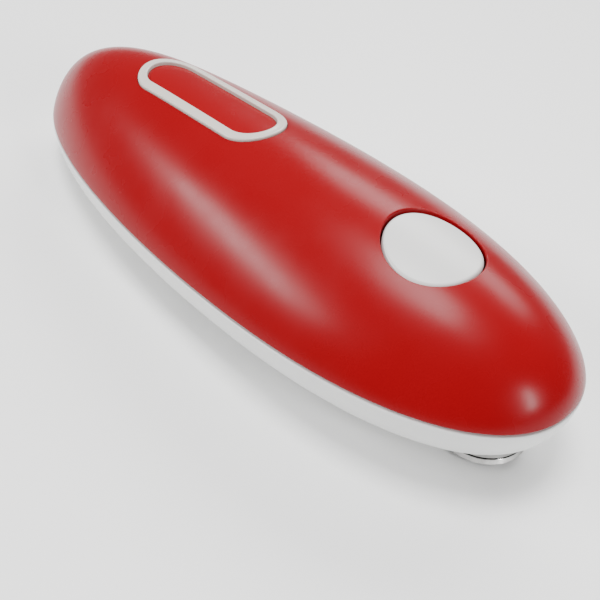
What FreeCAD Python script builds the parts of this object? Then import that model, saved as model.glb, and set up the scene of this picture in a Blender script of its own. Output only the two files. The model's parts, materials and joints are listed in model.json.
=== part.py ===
import FreeCAD, Part
import math
import os
import re

import Sketcher

from FreeCAD import Placement, Rotation, Vector

# Battery can opener.  The casing is laid out level, with +X towards the cutting head, +Y to
# the left and +Z up.  z = 0 is the underside of the cutter wheel and y = 0 the long mid plane.
# At the very end every piece gets the same rest placement, nose up, so that the opener stands
# on its cutter and its tail the way it does on a table.

DIMENSIONS = [
    # casing
    ("half_length", 95.0, "half the casing length"),
    ("half_width", 36.0, "half the casing width"),
    ("widest_share", 0.15, "where the plan is widest, as a share of the half length"),
    ("crest_share", -0.3, "where the back is highest, as a share of the half length"),
    ("back_height", 25.5, "upper shell, parting line to crest"),
    ("parting_z", 21.5, "height of the parting line"),
    ("groove_gap", 0.4, "shadow groove between the shells"),
    ("belly_depth", 13.4, "lower shell, parting line to flat underside"),
    ("belly_inset", 10.3, "how far the underside is set in from the plan outline"),
    ("wall", 2.2, "shell wall"),
    ("lip_outer", 1.25, "inset of the locating lip's outer face"),
    ("lip_rise", 1.2, "locating lip above the parting line"),
    ("rest_tilt", 3.063, "nose-up angle at rest, degrees"),
    ("rest_shift", 1.15, "shift along X that centres the resting opener"),
    ("rest_drop", 3.55, "drop that brings the resting opener to the table"),
    # ring and inlay on the back
    ("ring_x", -26.9, "centre of the racetrack ring"),
    ("ring_half_length", 26.4, "ring, outer half length"),
    ("ring_half_width", 9.6, "ring, outer half width"),
    ("ring_band", 2.75, "ring, width of its band"),
    ("ring_proud", 0.6, "ring above the back"),
    ("ring_seat", 1.2, "depth of the ring's seat"),
    ("inlay_sunk", 0.45, "inlay panel below the back"),
    # power button and switch
    ("button_x", 52.6, "button centre"),
    ("button_radius", 11.9, "button cap"),
    ("button_hole", 12.3, "button hole in the shell"),
    ("button_sunk", 0.6, "button below the back"),
    ("button_thick", 2.2, "button cap thickness"),
    ("button_flange", 13.2, "retaining flange under the shell"),
    ("button_spring_radius", 4.2, "button spring, mean coil radius"),
    ("button_spring_wire", 0.3, "button spring, wire radius"),
    ("button_spring_turns", 3, "button spring, turns"),
    ("stem_radius", 2.0, "button stem"),
    ("stem_low", 37.3, "foot of the button stem"),
    ("plunger_radius", 1.6, "switch plunger"),
    ("plunger_low", 31.0, "foot of the plunger inside the switch"),
    ("plunger_top", 37.25, "top of the plunger"),
    ("running", 0.05, "radial running clearance"),
    ("switch_low", 28.0, "underside of the switch"),
    ("switch_top", 35.0, "top of the switch"),
    ("switch_side", 12.0, "switch body, square side"),
    ("board_low", 26.4, "underside of the circuit board"),
    ("board_thick", 1.6, "circuit board"),
    ("board_length", 30.0, "circuit board along X"),
    ("board_width", 22.0, "circuit board along Y"),
    # gearbox
    ("plate_low", 10.5, "lower gear plate, underside"),
    ("plate_top", 12.0, "lower gear plate, top"),
    ("cover_low", 22.3, "upper gear plate, underside"),
    ("cover_top", 24.3, "upper gear plate, top"),
    ("plate_half_width", 17.0, "gear plates, half width"),
    ("plate_tail_x", 6.0, "lower gear plate, tail end"),
    ("plate_shoulder_x", 62.0, "gear plates, start of the taper"),
    ("plate_nose_x", 82.0, "gear plates, nose end"),
    ("plate_nose_half", 7.5, "gear plates, half width at the nose"),
    ("motor_x", 16.0, "motor axis"),
    ("drive_x", 54.0, "drive spindle axis"),
    ("swing_x", 74.0, "cutter carrier axis"),
    ("first_x", 32.05, "first cluster gear axis, x"),
    ("first_y", -2.59, "first cluster gear axis, y"),
    ("second_x", 40.99, "second cluster gear axis, x"),
    ("second_y", 13.01, "second cluster gear axis, y"),
    ("pin_radius", 1.5, "cluster gear pins"),
    ("motor_module", 0.5, "tooth module, motor pinion and first wheel"),
    ("middle_module", 0.6, "tooth module, second stage"),
    ("final_module", 0.8, "tooth module, final stage"),
    ("pinion_teeth", 10, "teeth on every pinion"),
    ("first_teeth", 55, "teeth on the first wheel"),
    ("second_teeth", 50, "teeth on the second wheel"),
    ("drive_teeth", 36, "teeth on the drive gear"),
    ("swing_teeth", 14, "teeth on the swing gear"),
    ("low_layer", 12.5, "first wheel, underside"),
    ("low_layer_top", 14.7, "first wheel, top"),
    ("mid_layer", 15.1, "second wheel, underside"),
    ("mid_layer_top", 17.5, "second wheel, top"),
    ("top_layer", 17.9, "drive gear, underside"),
    ("top_layer_top", 21.4, "drive gear, top"),
    ("post_radius", 2.1, "posts between the gear plates"),
    ("post_tail_x", 20.6, "tail posts, x"),
    ("post_tail_y", 14.9, "tail posts, y"),
    ("post_nose_x", 65.6, "nose posts, x"),
    ("post_nose_y", 13.0, "nose posts, y"),
    # drive spindle and wheel
    ("spindle_radius", 2.5, "drive spindle"),
    ("spindle_seat", 2.0, "spindle at the drive wheel and in the upper plate"),
    ("bush_radius", 4.0, "spindle bush, outside"),
    ("bush_low", 7.2, "spindle bush, foot"),
    ("wheel_radius", 6.0, "serrated drive wheel"),
    ("wheel_low", 1.2, "drive wheel, underside"),
    ("wheel_top", 5.2, "drive wheel, top"),
    ("wheel_notches", 32, "serrations on the drive wheel"),
    ("wheel_screw_head", 3.3, "drive wheel screw, head"),
    ("wheel_recess", 1.0, "drive wheel, recess for the screw head"),
    ("collar_radius", 3.4, "spindle collar above the wheel"),
    ("collar_top", 7.0, "spindle collar, top"),
    # cutter
    ("hub_radius", 10.9, "cutter hub"),
    ("hub_low", 2.8, "cutter hub, underside"),
    ("hub_top", 7.9, "cutter hub, top"),
    ("eccentric", 2.25, "offset of the hub from its shaft"),
    ("shaft_radius", 3.0, "carrier shaft"),
    ("carrier_bush_radius", 4.8, "carrier bush, outside"),
    ("cutter_radius", 11.3, "cutter wheel at its edge"),
    ("cutter_top", 2.6, "cutter wheel, top face"),
    ("shoulder_radius", 2.5, "cutter screw, shoulder"),
    ("cutter_screw_head", 4.0, "cutter screw, head"),
    # head plate and lid magnet
    ("head_plate_low", 7.1, "wear plate, underside"),
    ("head_plate_tail", 42.0, "wear plate, tail end"),
    ("head_plate_nose", 60.2, "wear plate, nose end"),
    ("head_plate_half", 11.0, "wear plate, half width"),
    ("magnet_x", 30.0, "lid magnet axis"),
    ("magnet_radius", 7.5, "lid magnet"),
    ("magnet_low", 3.2, "lid magnet, exposed face"),
    ("magnet_top", 6.2, "lid magnet, top"),
    ("holder_radius", 9.5, "magnet holder"),
    ("holder_low", 3.6, "magnet holder, rim"),
    # motor
    ("motor_radius", 10.2, "motor can, round sides"),
    ("motor_half_flat", 7.75, "motor can, half width across the flats"),
    ("motor_low", 16.5, "motor can, underside"),
    ("can_top", 38.5, "motor can, top"),
    ("cap_top", 41.5, "motor end cap, top"),
    ("can_wall", 0.8, "motor can wall"),
    ("motor_shaft", 1.0, "motor shaft"),
    ("rotor_radius", 6.0, "rotor stack"),
    ("bracket_low", 15.1, "motor bracket plate, underside"),
    # battery bay
    ("cell_radius", 7.25, "AA cell"),
    ("cell_length", 50.5, "AA cell over its nub"),
    ("spring_half_span", 4.8, "battery spring strip, crest to foot along z"),
    ("spring_foot_gap", 0.15, "battery spring strip, feet off the contact"),
    ("spring_thick", 0.4, "battery spring strip, thickness"),
    ("spring_width", 5.0, "battery spring strip, width"),
    ("cell_low", 10.35, "underside of the lower cells"),
    ("bay_tail", -65.2, "battery bay, tail end"),
    ("bay_nose", -9.4, "battery bay, nose end"),
    ("bay_half", 15.0, "battery bay, half width"),
    ("tray_wall", 1.2, "battery tray wall"),
    ("door_tail", -66.0, "door opening, tail end"),
    ("door_nose", -4.0, "door opening, nose end"),
    ("door_half", 15.75, "door opening, half width"),
    ("door_gap", 0.25, "gap round the battery door"),
    ("door_thick", 2.0, "battery door"),
    ("hinge_radius", 1.0, "rounded hinge edge of the door"),
    ("hinge_pin", 0.7, "door hinge pins"),
    # fasteners
    ("screw_radius", 1.4, "casing screw shank"),
    ("screw_head", 2.7, "casing screw head"),
    ("boss_radius", 3.6, "casing screw bosses"),
]

CASING_SCREWS = [(-77.0, 0.0), (-1.0, 24.0), (-1.0, -24.0), (68.0, 18.6), (68.0, -18.6)]
# the hump that shapes plan and back: powers and roots on the tail side and the nose side
PLAN_POWERS, PLAN_ROOTS = (1.9, 2.35), (2.2, 2.2)
BACK_POWERS, BACK_ROOTS = (3.4, 3.6), (1.8, 2.0)
SECTION_POWER = 1.52
DOME_STATIONS, DOME_SPANS = 33, 21
OUTLINE_POINTS = 56
BELLY_SECTIONS = 8
PRESSURE_ANGLE = math.radians(25.0)
ADDENDUM = 0.85
DEDENDUM = 1.1
BACKLASH = 0.05

doc = FreeCAD.newDocument("can_opener")
sheet = doc.addObject("Spreadsheet::Sheet", "dims")
for line, (alias, value, meaning) in enumerate(DIMENSIONS, start=1):
    sheet.set("A%d" % line, str(value))
    sheet.setAlias("A%d" % line, alias)
    sheet.set("B%d" % line, meaning)
doc.recompute()

nodes = []


def val(alias):
    """The number held by a cell."""
    return float(sheet.get(alias))


def cells(text):
    """An expression in which every word is a cell of the sheet."""
    return re.sub(r"[a-z]\w*", lambda word: "dims." + word.group(0), str(text))


def keep(obj, label):
    """Name a finished sub-part and put it on the list of nodes."""
    obj.Label = label
    nodes.append(obj)
    return obj


# ---- document primitives, bound to the sheet ------------------------------------------------

def bind(obj, **sizes):
    for name, text in sizes.items():
        obj.setExpression(name, cells(text))
    return obj


def put(obj, x, y, z):
    for axis, text in zip("xyz", (x, y, z)):
        obj.setExpression("Placement.Base." + axis, cells(text))
    return obj


def cylinder(name, radius, x, y, low, high):
    obj = doc.addObject("Part::Cylinder", name)
    bind(obj, Radius=radius, Height="(%s) - (%s)" % (high, low))
    return put(obj, x, y, low)


def cone(name, low_radius, high_radius, x, y, low, high):
    obj = doc.addObject("Part::Cone", name)
    bind(obj, Radius1=low_radius, Radius2=high_radius, Height="(%s) - (%s)" % (high, low))
    return put(obj, x, y, low)


def block(name, x, y, z):
    """A box from three (low, high) pairs."""
    obj = doc.addObject("Part::Box", name)
    lengths = ["(%s) - (%s)" % (pair[1], pair[0]) for pair in (x, y, z)]
    bind(obj, Length=lengths[0], Width=lengths[1], Height=lengths[2])
    return put(obj, x[0], y[0], z[0])


def fuse(name, shapes):
    if len(shapes) == 1:
        return shapes[0]
    obj = doc.addObject("Part::MultiFuse", name)
    obj.Shapes = shapes
    return obj


def cut(name, base, tools):
    obj = doc.addObject("Part::Cut", name)
    obj.Base = base
    obj.Tool = fuse(name + "_tools", tools)
    return obj


def group(name, shapes):
    obj = doc.addObject("Part::Compound", name)
    obj.Links = shapes
    return obj


def turned(name, x, y, steps, holes=()):
    """A turned piece on a vertical axis: (radius, low, high) steps, less coaxial holes."""
    solids = [cylinder("%s_step%d" % (name, i), radius, x, y, low, high)
              for i, (radius, low, high) in enumerate(steps)]
    body = fuse(name + "_blank", solids)
    if not holes:
        return body
    tools = [cylinder("%s_hole%d" % (name, i), radius, x, y, low, high)
             for i, (radius, low, high) in enumerate(holes)]
    return cut(name + "_turned", body, tools)


def cross_slot(name, x, y, low, high, reach, width):
    """Two crossed blocks that cut a screwdriver recess."""
    along = block(name + "_a", (x + " - " + reach, x + " + " + reach),
                  (y + " - " + width, y + " + " + width), (low, high))
    across = block(name + "_b", (x + " - " + width, x + " + " + width),
                   (y + " - " + reach, y + " + " + reach), (low, high))
    return [along, across]


# ---- sketched plates ------------------------------------------------------------------------

def plane(body, role):
    return next(item for item in body.Origin.OriginFeatures if item.Role == role)


def sketch_on(body, name, height):
    """A sketch on the body's own XY plane, lifted to a height held by the sheet."""
    sketch = body.newObject("Sketcher::SketchObject", name)
    sketch.AttachmentSupport = (plane(body, "XY_Plane"), [""])
    sketch.MapMode = "FlatFace"
    sketch.setExpression("AttachmentOffset.Base.z", cells(height))
    return sketch


def add_circle(sketch, radius, x, y):
    """A circle whose radius and centre follow the sheet."""
    index = sketch.addGeometry(Part.Circle(Vector(1, 1, 0), Vector(0, 0, 1), 1.0), False)
    for kind, refs, text in (("Radius", (index,), radius),
                             ("DistanceX", (-1, 1, index, 3), x),
                             ("DistanceY", (-1, 1, index, 3), y)):
        spot = sketch.addConstraint(Sketcher.Constraint(kind, *refs, 1.0))
        sketch.setExpression("Constraints[%d]" % spot, cells(text))


def add_outline(sketch, corners):
    """A closed outline of straight sides through corners given as sheet expressions."""
    rough = [Vector(math.cos(math.tau * i / len(corners)), math.sin(math.tau * i / len(corners)), 0)
             for i in range(len(corners))]
    first = sketch.GeometryCount
    for i, start in enumerate(rough):
        sketch.addGeometry(Part.LineSegment(start, rough[(i + 1) % len(rough)]), False)
    for i in range(len(corners)):
        after = first + (i + 1) % len(corners)
        sketch.addConstraint(Sketcher.Constraint("Coincident", first + i, 2, after, 1))
    for i, corner in enumerate(corners):
        for kind, text in (("DistanceX", corner[0]), ("DistanceY", corner[1])):
            spot = sketch.addConstraint(Sketcher.Constraint(kind, -1, 1, first + i, 1, 1.0))
            sketch.setExpression("Constraints[%d]" % spot, cells(text))


def pad(body, sketch, length):
    feature = body.newObject("PartDesign::Pad", sketch.Name + "_pad")
    feature.Profile = sketch
    feature.setExpression("Length", cells(length))
    return feature


def pocket(body, sketch):
    """A pocket right through, both ways from its sketch."""
    feature = body.newObject("PartDesign::Pocket", sketch.Name + "_pocket")
    feature.Profile = sketch
    feature.Type = 1
    feature.Midplane = True
    return feature


def plate(label, outline, low, high, holes, posts=()):
    """A flat plate: a padded outline, round posts (radius, x, y, top) and round holes."""
    body = doc.addObject("PartDesign::Body", label + "_body")
    base = sketch_on(body, label + "_outline", low)
    add_outline(base, outline)
    pad(body, base, "(%s) - (%s)" % (high, low))
    doc.recompute()
    for i, (radius, x, y, top) in enumerate(posts):
        foot = sketch_on(body, "%s_post%d" % (label, i), low)
        add_circle(foot, radius, x, y)
        pad(body, foot, "(%s) - (%s)" % (top, low))
        doc.recompute()
    if holes:
        bores = sketch_on(body, label + "_holes", low)
        for radius, x, y in holes:
            add_circle(bores, radius, x, y)
        pocket(body, bores)
    doc.recompute()
    return body


# ---- free-form casing -----------------------------------------------------------------------

def swell(share, centre, power, root):
    """A smooth hump over the length: 1 at its centre, 0 at both ends."""
    if share < centre:
        reach = (centre - share) / (1 + centre)
    else:
        reach = (share - centre) / (1 - centre)
    side = 0 if share < centre else 1
    fall = 1 - reach ** power[side]
    return fall ** (1 / root[side]) if fall > 1e-9 else 0.0


def plan_width(share):
    return swell(share, val("widest_share"), PLAN_POWERS, PLAN_ROOTS)


def back_profile(share):
    return swell(share, val("crest_share"), BACK_POWERS, BACK_ROOTS)


def dome(inset):
    """The solid under the back, shrunk by an inset all over.  It stands on the parting plane."""
    rows = []
    for i in range(DOME_STATIONS):
        share = -math.cos(math.pi * i / (DOME_STATIONS - 1))
        width = (val("half_width") - inset) * plan_width(share)
        height = (val("back_height") - inset) * back_profile(share)
        row = []
        for j in range(DOME_SPANS):
            turn = math.pi * j / (DOME_SPANS - 1)
            rise = max(0.0, math.sin(turn)) ** SECTION_POWER
            row.append(Vector((val("half_length") - inset) * share,
                              width * math.cos(turn), val("parting_z") + height * rise))
        rows.append(row)
    surface = Part.BSplineSurface()
    surface.interpolate(rows)
    skin = surface.toShape()
    rim = Part.Wire(Part.__sortEdges__([edge for edge in skin.Edges if edge.Length > 1]))
    shell = Part.makeCompound([skin, Part.Face(rim)])
    shell.sewShape()
    solid = Part.Solid(shell.Shells[0])
    if solid.Volume < 0:
        solid.reverse()
    return solid


def outline(inset, z):
    """The casing's plan outline, drawn in by an inset, at one height."""
    points = []
    for i in range(OUTLINE_POINTS):
        turn = math.tau * i / OUTLINE_POINTS
        share = -math.cos(turn)
        side = math.copysign(1.0, math.sin(turn)) if i % (OUTLINE_POINTS // 2) else 0.0
        points.append(Vector((val("half_length") - inset) * share,
                             -side * (val("half_width") - inset) * plan_width(share), z))
    curve = Part.BSplineCurve()
    curve.interpolate(Points=points, PeriodicFlag=True)
    return Part.Wire(curve.toShape())


def prism(inset, low, high):
    return Part.Face(outline(inset, low)).extrude(Vector(0, 0, high - low))


def bowl(inset, top):
    """The solid inside the belly, shrunk by an inset, from a height at or under the parting."""
    depth = val("belly_depth") - inset
    start = math.asin((val("parting_z") - top) / depth)
    wires = []
    for i in range(BELLY_SECTIONS):
        turn = start + (math.pi / 2 - start) * i / (BELLY_SECTIONS - 1)
        draw_in = inset + val("belly_inset") * (1 - math.cos(turn))
        wires.append(outline(draw_in, val("parting_z") - depth * math.sin(turn)))
    return Part.makeLoft(wires, True)


def racetrack(half_length, half_width, low, high):
    """An upright bar with round ends, centred on the ring."""
    x = val("ring_x")
    straight = half_length - half_width
    bar = Part.makeBox(2 * straight, 2 * half_width, high - low,
                       Vector(x - straight, -half_width, low))
    ends = [Part.makeCylinder(half_width, high - low, Vector(x + side * straight, 0, low))
            for side in (-1, 1)]
    return bar.multiFuse(ends).removeSplitter()


def feature(label, shape):
    obj = doc.addObject("Part::Feature", label + "_solid")
    obj.Shape = shape
    return keep(obj, label)


def rod(radius, x, y, low, high):
    return Part.makeCylinder(radius, high - low, Vector(x, y, low))


def box(x, y, z):
    return Part.makeBox(x[1] - x[0], y[1] - y[0], z[1] - z[0], Vector(x[0], y[0], z[0]))


parting = val("parting_z")
wall = val("wall")
sky = parting + val("back_height") + 5
floor_low = parting - val("belly_depth")
floor_top = floor_low + wall


def upper_shell():
    shell = dome(0).cut(dome(wall).translated(Vector(0, 0, -0.01)))
    shell = shell.cut(prism(val("lip_outer") - 0.05, parting - 1, parting + val("lip_rise") + 0.1))
    posts = [rod(3.2, x, y, parting - 0.2, sky).common(dome(1.0).translated(Vector(0, 0, -0.3)))
             for x, y in CASING_SCREWS]
    shell = shell.multiFuse(posts)
    seat = racetrack(val("ring_half_length"), val("ring_half_width"), parting, sky)
    shell = shell.cut(seat.cut(dome(val("ring_seat"))))
    shell = shell.cut(rod(val("button_hole"), val("button_x"), 0, parting + 5, sky))
    holes = [rod(val("screw_radius"), x, y, parting - 2, parting + 9) for x, y in CASING_SCREWS]
    return shell.cut(Part.makeCompound(holes))


def lower_shell():
    shell = bowl(0, parting - val("groove_gap"))
    shell = shell.fuse(prism(val("lip_outer"), parting - 3, parting + val("lip_rise")))
    cavity = bowl(wall, parting).fuse(prism(wall, parting - 0.01, parting + 4))
    shell = shell.cut(cavity)
    bosses = [rod(val("boss_radius"), x, y, floor_low + 0.5, parting - 0.4)
              for x, y in CASING_SCREWS]
    axis_x = val("door_nose") - val("door_gap") - val("hinge_radius")
    axis_z = floor_low + val("hinge_radius")
    lugs = [box((axis_x - 2.2, axis_x + 2.2), sorted((side * 15.8, side * 18.6)),
                (floor_low + 0.5, axis_z + 2.2)) for side in (-1, 1)]
    inside = bowl(0.4, parting - 0.2)
    shell = shell.multiFuse([item.common(inside) for item in bosses + lugs])
    opening = box((val("door_tail"), val("door_nose")), (-val("door_half"), val("door_half")),
                  (floor_low - 1, floor_top + 1))
    tools = [opening,
             Part.makeCylinder(val("hinge_pin") + val("running"), 36.6,
                               Vector(axis_x, -18.3, axis_z), Vector(0, 1, 0)),
             rod(val("bush_radius"), val("drive_x"), 0, floor_low - 1, floor_top + 1),
             rod(val("carrier_bush_radius"), val("swing_x"), 0, floor_low - 1, floor_top + 1)]
    for x, y in CASING_SCREWS:
        tools.append(rod(val("screw_radius") + 0.2, x, y, floor_low - 1, parting + 1))
        tools.append(rod(val("screw_head") + 0.3, x, y, floor_low - 1, floor_low + 3.2))
    return shell.cut(Part.makeCompound(tools[1:])).cut(opening)


def ring_trim():
    outer = racetrack(val("ring_half_length") - 0.05, val("ring_half_width") - 0.05, parting, sky)
    inner = racetrack(val("ring_half_length") - val("ring_band"),
                      val("ring_half_width") - val("ring_band"), parting, sky)
    return outer.cut(inner).common(dome(-val("ring_proud"))).cut(dome(val("ring_seat")))


def inlay_panel():
    band = val("ring_band") + 0.05
    core = racetrack(val("ring_half_length") - band, val("ring_half_width") - band, parting, sky)
    return core.common(dome(val("inlay_sunk"))).cut(dome(val("ring_seat")))


def power_button():
    x = val("button_x")
    sunk, thick = val("button_sunk"), val("button_thick")
    cap = rod(val("button_radius"), x, 0, parting + 5, sky).common(dome(sunk))
    cap = cap.cut(dome(sunk + thick))
    flange = rod(val("button_flange"), x, 0, parting + 5, sky).common(dome(sunk + thick))
    flange = flange.cut(dome(sunk + thick + 1.2)).cut(rod(8.5, x, 0, parting, sky))
    stem = rod(val("stem_radius"), x, 0, val("stem_low"), parting + back_rise(x) - sunk - 1)
    return cap.multiFuse([flange, stem])


def back_rise(x):
    return val("back_height") * back_profile(x / val("half_length"))


# ---- gears ----------------------------------------------------------------------------------

def involute(base, radius):
    """The angle of an involute at a radius, from where it leaves its base circle."""
    pressure = math.acos(min(1.0, base / radius))
    return math.tan(pressure) - pressure


def spur(teeth, module, phase, low, high, x, y):
    """A spur gear with one tooth centred on the direction given by phase, in radians."""
    teeth = int(round(teeth))
    pitch = teeth * module / 2
    base = pitch * math.cos(PRESSURE_ANGLE)
    tip = pitch + ADDENDUM * module
    root = pitch - DEDENDUM * module
    half = (math.pi * module / 2 - BACKLASH) / (2 * pitch) + involute(base, pitch)
    foot = max(base, root) + 0.001
    radii = [foot + (tip - foot) * i / 4 for i in range(5)]

    def at(radius, angle):
        return Vector(x + radius * math.cos(angle), y + radius * math.sin(angle), low)

    edges = []
    for tooth in range(teeth):
        middle = phase + math.tau * tooth / teeth
        rising = [at(r, middle - half + involute(base, r)) for r in radii]
        falling = [at(r, middle + half - involute(base, r)) for r in reversed(radii)]
        left = at(root, middle - half)
        right = at(root, middle + half)
        after = at(root, middle + math.tau / teeth - half)
        edges.append(Part.LineSegment(left, rising[0]).toShape())
        for points in (rising, falling):
            curve = Part.BSplineCurve()
            curve.interpolate(points)
            edges.append(curve.toShape())
        edges.insert(-1, Part.Arc(rising[-1], at(tip, middle), falling[0]).toShape())
        edges.append(Part.LineSegment(falling[-1], right).toShape())
        valley = at(root, middle + math.pi / teeth)
        edges.append(Part.Arc(right, valley, after).toShape())
    return Part.Face(Part.Wire(edges)).extrude(Vector(0, 0, high - low))


def heading(start, end):
    return math.atan2(end[1] - start[1], end[0] - start[0])


motor_at = (val("motor_x"), 0.0)
first_at = (val("first_x"), val("first_y"))
second_at = (val("second_x"), val("second_y"))
drive_at = (val("drive_x"), 0.0)
swing_at = (val("swing_x"), 0.0)


def gap_towards(start, end, teeth):
    """The phase that puts a tooth gap on the line from one axis to another."""
    return heading(start, end) + math.pi / teeth


def motor_pinion():
    gear = spur(val("pinion_teeth"), val("motor_module"), heading(motor_at, first_at),
                val("low_layer"), val("low_layer_top"), *motor_at)
    return gear.cut(rod(val("motor_shaft"), *motor_at, 0, 30))


def cluster_gear_1():
    wheel = spur(val("first_teeth"), val("motor_module"),
                 gap_towards(first_at, motor_at, val("first_teeth")),
                 val("low_layer"), val("low_layer_top"), *first_at)
    pinion = spur(val("pinion_teeth"), val("middle_module"), heading(first_at, second_at),
                  val("low_layer_top") - 0.2, val("mid_layer_top") + 0.2, *first_at)
    collar = rod(2.3, *first_at, val("mid_layer_top"), val("cover_low") - 0.1)
    boss = rod(3.0, *first_at, val("plate_top") + 0.1, val("low_layer") + 0.5)
    webs = [rod(2.2, first_at[0] + 8.6 * math.cos(a), first_at[1] + 8.6 * math.sin(a), 10, 16)
            for a in (math.tau * i / 6 for i in range(6))]
    solid = wheel.cut(Part.makeCompound(webs)).multiFuse([pinion, collar, boss])
    return solid.cut(rod(val("pin_radius") + val("running"), *first_at, 0, 30))


def cluster_gear_2():
    wheel = spur(val("second_teeth"), val("middle_module"),
                 gap_towards(second_at, first_at, val("second_teeth")),
                 val("mid_layer"), val("mid_layer_top"), *second_at)
    pinion = spur(val("pinion_teeth"), val("final_module"), heading(second_at, drive_at),
                  val("mid_layer_top") - 0.2, val("top_layer_top") + 0.2, *second_at)
    collar = rod(2.8, *second_at, val("plate_top") + 0.1, val("mid_layer") + 0.5)
    journal = rod(2.6, *second_at, val("top_layer_top"), val("cover_low") - 0.1)
    webs = [rod(2.4, second_at[0] + 9.6 * math.cos(a), second_at[1] + 9.6 * math.sin(a), 13, 20)
            for a in (math.tau * i / 6 for i in range(6))]
    solid = wheel.cut(Part.makeCompound(webs)).multiFuse([pinion, collar, journal])
    return solid.cut(rod(val("pin_radius") + val("running"), *second_at, 0, 30))


def drive_gear():
    gear = spur(val("drive_teeth"), val("final_module"), 0.0,
                val("top_layer"), val("top_layer_top"), *drive_at)
    recess = rod(12.2, *drive_at, val("top_layer") + 2.4, 30).cut(rod(5.0, *drive_at, 0, 30))
    return gear.cut(recess).cut(rod(val("spindle_radius"), *drive_at, 0, 30))


def swing_gear():
    gear = spur(val("swing_teeth"), val("final_module"),
                gap_towards(swing_at, drive_at, val("swing_teeth")),
                val("top_layer"), val("top_layer_top"), *swing_at)
    return gear.cut(rod(val("shaft_radius") + val("running"), *swing_at, 0, 30))


def drive_wheel():
    """A hardened wheel whose edge is cut into sharp serrations that grip the can rim."""
    low, high = val("wheel_low"), val("wheel_top")
    count = int(val("wheel_notches"))
    points = []
    for i in range(count):
        for share, radius in ((0.0, val("wheel_radius")), (0.5, val("wheel_radius") - 0.55)):
            turn = math.tau * (i + share) / count
            points.append(Vector(drive_at[0] + radius * math.cos(turn),
                                 radius * math.sin(turn), low))
    toothed = Part.Face(Part.makePolygon(points + points[:1])).extrude(Vector(0, 0, high - low))
    bevel = Part.makeCone(val("wheel_radius") - 0.5, val("wheel_radius") + 0.3, 0.8,
                          Vector(*drive_at, low))
    bevel = bevel.fuse(rod(val("wheel_radius") + 0.3, *drive_at, low + 0.8, high - 0.8))
    bevel = bevel.fuse(Part.makeCone(val("wheel_radius") + 0.3, val("wheel_radius") - 0.5, 0.8,
                                     Vector(*drive_at, high - 0.8)))
    recess = rod(val("wheel_screw_head") + 0.2, *drive_at, 0, low + val("wheel_recess"))
    return toothed.common(bevel).cut(rod(val("spindle_seat"), *drive_at, 0, 30)).cut(recess)


# ---- springs and leads ----------------------------------------------------------------------

def coil(radius, wire_radius, turns, length, base, direction):
    """A compression spring of round wire, standing on base and pointing along direction."""
    helix = Part.makeHelix(length / turns, length, radius)
    section = Part.Wire(Part.makeCircle(wire_radius, Vector(radius, 0, 0), Vector(0, 1, 0)))
    spring = Part.Wire(helix).makePipeShell([section], True, True)
    spring.Placement = Placement(base, Rotation(Vector(0, 0, 1), direction))
    return spring


def leaf_spring(seat, tip_x):
    """A bowed strip of even thickness: two feet just off the seat, its crest at tip_x."""
    facing = 1 if tip_x > seat.x else -1
    half_span = val("spring_half_span")
    foot_x = seat.x + facing * val("spring_foot_gap")
    sagitta = abs(tip_x - foot_x)
    outer = (half_span ** 2 + sagitta ** 2) / (2 * sagitta)
    centre = Vector(tip_x - facing * outer, seat.y, seat.z)
    arcs = []
    for radius in (outer, outer - val("spring_thick")):
        ends = [centre + Vector(foot_x - centre.x, 0, side * half_span) * (radius / outer)
                for side in (-1, 1)]
        crest = centre + Vector(facing * radius, 0, 0)
        arcs.append((ends, Part.Arc(ends[0], crest, ends[1]).toShape()))
    caps = [Part.LineSegment(outside, inside).toShape()
            for outside, inside in zip(arcs[0][0], arcs[1][0])]
    face = Part.Face(Part.Wire([arcs[0][1], caps[1], arcs[1][1], caps[0]]))
    width = val("spring_width")
    face.translate(Vector(0, -width / 2, 0))
    return face.extrude(Vector(0, width, 0))


def lead(points, radius):
    """An insulated lead along straight runs joined by tangent arcs."""
    corners = [Vector(*point) for point in points]
    edges = []
    here = corners[0]
    for before, corner, after in zip(corners, corners[1:], corners[2:]):
        arriving = (corner - before).normalize()
        leaving = (after - corner).normalize()
        turn = arriving.getAngle(leaving)
        setback = 0.45 * min((corner - before).Length, (after - corner).Length)
        bend = setback / math.tan(turn / 2)
        start = corner - arriving * setback
        end = corner + leaving * setback
        inward = (leaving - arriving).normalize()
        middle = corner + inward * (bend / math.cos(turn / 2) - bend)
        edges.append(Part.LineSegment(here, start).toShape())
        edges.append(Part.Arc(start, middle, end).toShape())
        here = end
    edges.append(Part.LineSegment(here, corners[-1]).toShape())
    path = Part.Wire(edges)
    section = Part.Wire(Part.makeCircle(radius, corners[0], corners[1] - corners[0]))
    return path.makePipeShell([section], True, False)


# ---- casing ---------------------------------------------------------------------------------

feature("upper_shell", upper_shell())
feature("lower_shell", lower_shell())
feature("ring_trim", ring_trim())
feature("inlay_panel", inlay_panel())
feature("power_button", power_button())

screws = []
for i, (x, y) in enumerate(CASING_SCREWS):
    name = "casing_screw%d" % i
    shape = turned(name, x, y, [("screw_head", floor_low + 1.0, floor_low + 3.2),
                                ("screw_radius", floor_low + 3.2, parting + 8.5)])
    screws.append(cut(name + "_slotted", shape,
                      cross_slot(name + "_slot", str(x), str(y), floor_low, floor_low + 2.2,
                                 "1.6", "0.35")))
keep(group("casing_screw_set", screws), "casing_screws")

# ---- battery door, tray and cells -----------------------------------------------------------

door_low, door_high = floor_low, floor_low + val("door_thick")
hinge_x = val("door_nose") - val("door_gap") - val("hinge_radius")
door_panel = block("door_panel", ("door_tail + door_gap", str(hinge_x)),
                   ("-(door_half - door_gap)", "door_half - door_gap"), (door_low, door_high))


def cross_bar(name, radius, half, x, z):
    """A bar along Y."""
    bar = doc.addObject("Part::Cylinder", name)
    bind(bar, Radius=radius, Height="2 * (%s)" % half)
    bar.Placement.Rotation = Rotation(Vector(1, 0, 0), -90)
    return put(bar, x, "-(%s)" % half, z)


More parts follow.
